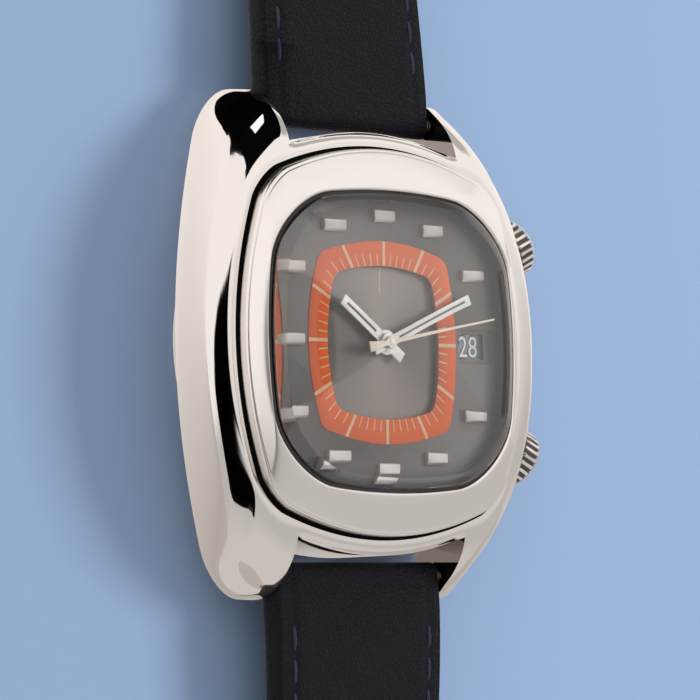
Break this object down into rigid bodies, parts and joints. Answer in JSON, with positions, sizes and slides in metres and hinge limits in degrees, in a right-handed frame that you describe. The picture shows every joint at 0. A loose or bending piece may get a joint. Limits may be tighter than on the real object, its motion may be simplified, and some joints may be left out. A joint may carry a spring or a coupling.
{
  "type": "alarm watch",
  "caption": "Cushion-shaped steel alarm wristwatch with crowns, alarm disc and orange minute ring, on a leather strap opened out flat.",
  "frame": {"origin": "centre of the outer face of the case back", "axes": "+X to 3 o'clock, +Y to 12 o'clock, +Z out of the dial towards the wearer's eye"},
  "size_m": [0.0419, 0.2417, 0.0132],
  "materials": {
    "case_steel": "polished, satin on the bezel's top",
    "back_steel": "brushed",
    "crystal_glass": "clear",
    "gasket_rubber": "matte",
    "nickel_plate": "rhodium plated, grained",
    "dial_paint": "sunburst grey lacquer",
    "disc_paint": "sunburst grey lacquer",
    "date_paint": "satin grey lacquer",
    "track_paint": "orange print with pale lines",
    "marker_metal": "faceted and polished",
    "hand_metal": "silvered",
    "second_paint": "cream",
    "jewel_ruby": "polished",
    "screw_steel": "blued",
    "wheel_brass": "gilt",
    "work_steel": "polished",
    "rotor_alloy": "grained",
    "crown_steel": "polished",
    "bar_steel": "plain",
    "strap_leather": "black fine grain",
    "keeper_leather": "black fine grain",
    "buckle_steel": "polished"
  },
  "bodies": {
    "case": {"middle_case": "case_steel", "bezel": "case_steel", "crystal": "crystal_glass", "crystal_gasket": "gasket_rubber", "case_back": "back_steel", "back_gasket": "gasket_rubber", "crown_tubes": "back_steel", "movement_ring": "nickel_plate", "dial": "dial_paint", "minute_track": "track_paint", "hour_markers": "marker_metal", "main_plate": "nickel_plate", "train_bridge": "nickel_plate", "balance_cock": "nickel_plate", "jewels": "jewel_ruby", "bridge_screws": "screw_steel", "sound_pin": "work_steel", "rotor_bearing": "nickel_plate", "spring_bars": "bar_steel"},
    "seconds": {"fourth_wheel": "wheel_brass", "second_hand": "second_paint"},
    "third": {"third_wheel": "wheel_brass"},
    "centre": {"centre_wheel": "wheel_brass"},
    "escape": {"escape_wheel": "work_steel"},
    "barrel": {"going_barrel": "wheel_brass", "mainspring": "work_steel"},
    "minutes": {"cannon_pinion": "work_steel", "minute_hand": "hand_metal"},
    "minute_work": {"minute_wheel": "wheel_brass"},
    "hours": {"hour_wheel": "wheel_brass", "hour_hand": "hand_metal"},
    "fork": {"pallet_fork": "work_steel"},
    "balance": {"balance_wheel": "wheel_brass", "hairspring": "screw_steel"},
    "alarm_dial": {"alarm_disc": "disc_paint"},
    "date": {"date_disc": "date_paint"},
    "alarm_drum": {"alarm_barrel": "wheel_brass"},
    "strike": {"strike_wheel": "work_steel"},
    "hammer": {"alarm_hammer": "work_steel"},
    "rotor": {"rotor": "rotor_alloy"},
    "time_slider": {"time_setting_lever": "work_steel"},
    "time_crown": {"time_crown": "crown_steel", "time_stem": "work_steel"},
    "time_pinion": {"winding_pinion": "work_steel"},
    "time_crown_wheel": {"crown_wheel": "work_steel"},
    "ratchet": {"ratchet_wheel": "work_steel"},
    "alarm_slider": {"alarm_setting_lever": "work_steel"},
    "alarm_crown": {"alarm_crown": "crown_steel", "alarm_stem": "work_steel"},
    "alarm_pinion": {"alarm_winding_pinion": "work_steel"},
    "alarm_crown_wheel": {"alarm_crown_wheel": "work_steel"},
    "alarm_ratchet": {"alarm_ratchet_wheel": "work_steel"},
    "buckle_half": {"buckle_strap": "strap_leather", "fixed_keeper": "keeper_leather", "buckle_bar": "bar_steel"},
    "free_keeper": {"free_keeper": "keeper_leather"},
    "buckle": {"buckle_frame": "buckle_steel"},
    "tongue": {"buckle_tongue": "buckle_steel"},
    "holed_half": {"holed_strap": "strap_leather"}
  },
  "joints": [
    {"name": "seconds_turn", "type": "hinge", "parent": "case", "child": "seconds", "pos_m": [0, 0, 0.005], "axis": [0, 0, -1], "continuous": true},
    {"name": "third_wheel_turn", "type": "hinge", "parent": "case", "child": "third", "pos_m": [-0.00443, -0.00078, 0.005], "axis": [0, 0, -1], "continuous": true},
    {"name": "centre_wheel_turn", "type": "hinge", "parent": "case", "child": "centre", "pos_m": [0, 0, 0.005], "axis": [0, 0, -1], "continuous": true},
    {"name": "escape_wheel_turn", "type": "hinge", "parent": "case", "child": "escape", "pos_m": [-0.00227, 0.00324, 0.005], "axis": [0, 0, -1], "continuous": true},
    {"name": "barrel_turn", "type": "hinge", "parent": "case", "child": "barrel", "pos_m": [0.00198, -0.00739, 0.005], "axis": [0, 0, -1], "continuous": true},
    {"name": "minutes_turn", "type": "hinge", "parent": "case", "child": "minutes", "pos_m": [0, 0, 0.005], "axis": [0, 0, -1], "continuous": true},
    {"name": "minute_wheel_turn", "type": "hinge", "parent": "case", "child": "minute_work", "pos_m": [-0.00096, -0.00263, 0.005], "axis": [0, 0, -1], "continuous": true},
    {"name": "hours_turn", "type": "hinge", "parent": "case", "child": "hours", "pos_m": [0, 0, 0.005], "axis": [0, 0, -1], "continuous": true},
    {"name": "fork_swing", "type": "hinge", "parent": "case", "child": "fork", "pos_m": [-0.00506, 0.00405, 0.005], "axis": [0, 0, -1], "range_deg": [-3, 3]},
    {"name": "balance_swing", "type": "hinge", "parent": "case", "child": "balance", "pos_m": [-0.009, 0.0052, 0.005], "axis": [0, 0, -1], "range_deg": [-135, 135], "stiffness_Nm_per_rad": 0.000000075, "deforming": ["hairspring"]},
    {"name": "alarm_disc_turn", "type": "hinge", "parent": "case", "child": "alarm_dial", "pos_m": [0, 0, 0.005], "axis": [0, 0, -1], "continuous": true},
    {"name": "date_disc_turn", "type": "hinge", "parent": "case", "child": "date", "pos_m": [0, 0, 0.005], "axis": [0, 0, -1], "continuous": true},
    {"name": "alarm_drum_turn", "type": "hinge", "parent": "case", "child": "alarm_drum", "pos_m": [0.003, 0.0077, 0.005], "axis": [0, 0, -1], "continuous": true},
    {"name": "strike_wheel_turn", "type": "hinge", "parent": "case", "child": "strike", "pos_m": [-0.0025, 0.0108, 0.005], "axis": [0, 0, -1], "continuous": true},
    {"name": "hammer_swing", "type": "hinge", "parent": "case", "child": "hammer", "pos_m": [-0.0054, 0.0114, 0.005], "axis": [0, 0, 1], "range_deg": [-3, 6]},
    {"name": "rotor_turn", "type": "hinge", "parent": "case", "child": "rotor", "pos_m": [0, 0, 0.005], "axis": [0, 0, -1], "continuous": true},
    {"name": "time_crown_pull", "type": "slide", "parent": "case", "child": "time_slider", "axis": [0.8988, -0.4384, 0], "range_m": [0, 0.0008]},
    {"name": "time_crown_turn", "type": "hinge", "parent": "time_slider", "child": "time_crown", "pos_m": [0.01618, -0.00789, 0.0056], "axis": [0.8988, -0.4384, 0], "continuous": true},
    {"name": "time_pinion_turn", "type": "hinge", "parent": "case", "child": "time_pinion", "pos_m": [0.01618, -0.00789, 0.0056], "axis": [0.8988, -0.4384, 0], "continuous": true},
    {"name": "time_crown_wheel_turn", "type": "hinge", "parent": "case", "child": "time_crown_wheel", "pos_m": [0.00827, -0.00403, 0.005], "axis": [0, 0, -1], "continuous": true},
    {"name": "time_ratchet_turn", "type": "hinge", "parent": "case", "child": "ratchet", "pos_m": [0.00198, -0.00739, 0.005], "axis": [0, 0, -1], "continuous": true},
    {"name": "alarm_crown_pull", "type": "slide", "parent": "case", "child": "alarm_slider", "axis": [0.8988, 0.4384, 0], "range_m": [0, 0.0008]},
    {"name": "alarm_crown_turn", "type": "hinge", "parent": "alarm_slider", "child": "alarm_crown", "pos_m": [0.01618, 0.00789, 0.0056], "axis": [0.8988, 0.4384, 0], "continuous": true},
    {"name": "alarm_pinion_turn", "type": "hinge", "parent": "case", "child": "alarm_pinion", "pos_m": [0.01618, 0.00789, 0.0056], "axis": [0.8988, 0.4384, 0], "continuous": true},
    {"name": "alarm_crown_wheel_turn", "type": "hinge", "parent": "case", "child": "alarm_crown_wheel", "pos_m": [0.00827, 0.00403, 0.005], "axis": [0, 0, -1], "continuous": true},
    {"name": "alarm_ratchet_turn", "type": "hinge", "parent": "case", "child": "alarm_ratchet", "pos_m": [0.003, 0.0077, 0.005], "axis": [0, 0, -1], "continuous": true},
    {"name": "buckle_half_swing", "type": "hinge", "parent": "case", "child": "buckle_half", "pos_m": [0, 0.0208, 0.0048], "axis": [1, 0, 0], "range_deg": [-80, 40]},
    {"name": "keeper_slide", "type": "slide", "parent": "buckle_half", "child": "free_keeper", "axis": [0, -1, 0], "range_m": [0, 0.01]},
    {"name": "buckle_swing", "type": "hinge", "parent": "buckle_half", "child": "buckle", "pos_m": [0, 0.0958, 0.0021], "axis": [1, 0, 0], "range_deg": [-30, 45]},
    {"name": "tongue_swing", "type": "hinge", "parent": "buckle", "child": "tongue", "pos_m": [0, 0.0958, 0.0021], "axis": [1, 0, 0], "range_deg": [0, 60]},
    {"name": "holed_half_swing", "type": "hinge", "parent": "case", "child": "holed_half", "pos_m": [0, -0.0208, 0.0048], "axis": [-1, 0, 0], "range_deg": [-80, 40]}
  ],
  "couplings": [
    {"joint": "third_wheel_turn", "follows": "seconds_turn", "ratio": -0.13333},
    {"joint": "centre_wheel_turn", "follows": "seconds_turn", "ratio": 0.016667},
    {"joint": "escape_wheel_turn", "follows": "seconds_turn", "ratio": -10},
    {"joint": "barrel_turn", "follows": "seconds_turn", "ratio": -0.0022222},
    {"joint": "minutes_turn", "follows": "seconds_turn", "ratio": 0.016667},
    {"joint": "minute_wheel_turn", "follows": "seconds_turn", "ratio": -0.0055556},
    {"joint": "hours_turn", "follows": "seconds_turn", "ratio": 0.0013889},
    {"joint": "strike_wheel_turn", "follows": "alarm_drum_turn", "ratio": -6},
    {"joint": "time_pinion_turn", "follows": "time_crown_turn", "ratio": 1},
    {"joint": "time_crown_wheel_turn", "follows": "time_crown_turn", "ratio": -0.5},
    {"joint": "time_ratchet_turn", "follows": "time_crown_turn", "ratio": 0.3},
    {"joint": "alarm_pinion_turn", "follows": "alarm_crown_turn", "ratio": 1},
    {"joint": "alarm_crown_wheel_turn", "follows": "alarm_crown_turn", "ratio": -0.5},
    {"joint": "alarm_ratchet_turn", "follows": "alarm_crown_turn", "ratio": 0.35294}
  ]
}
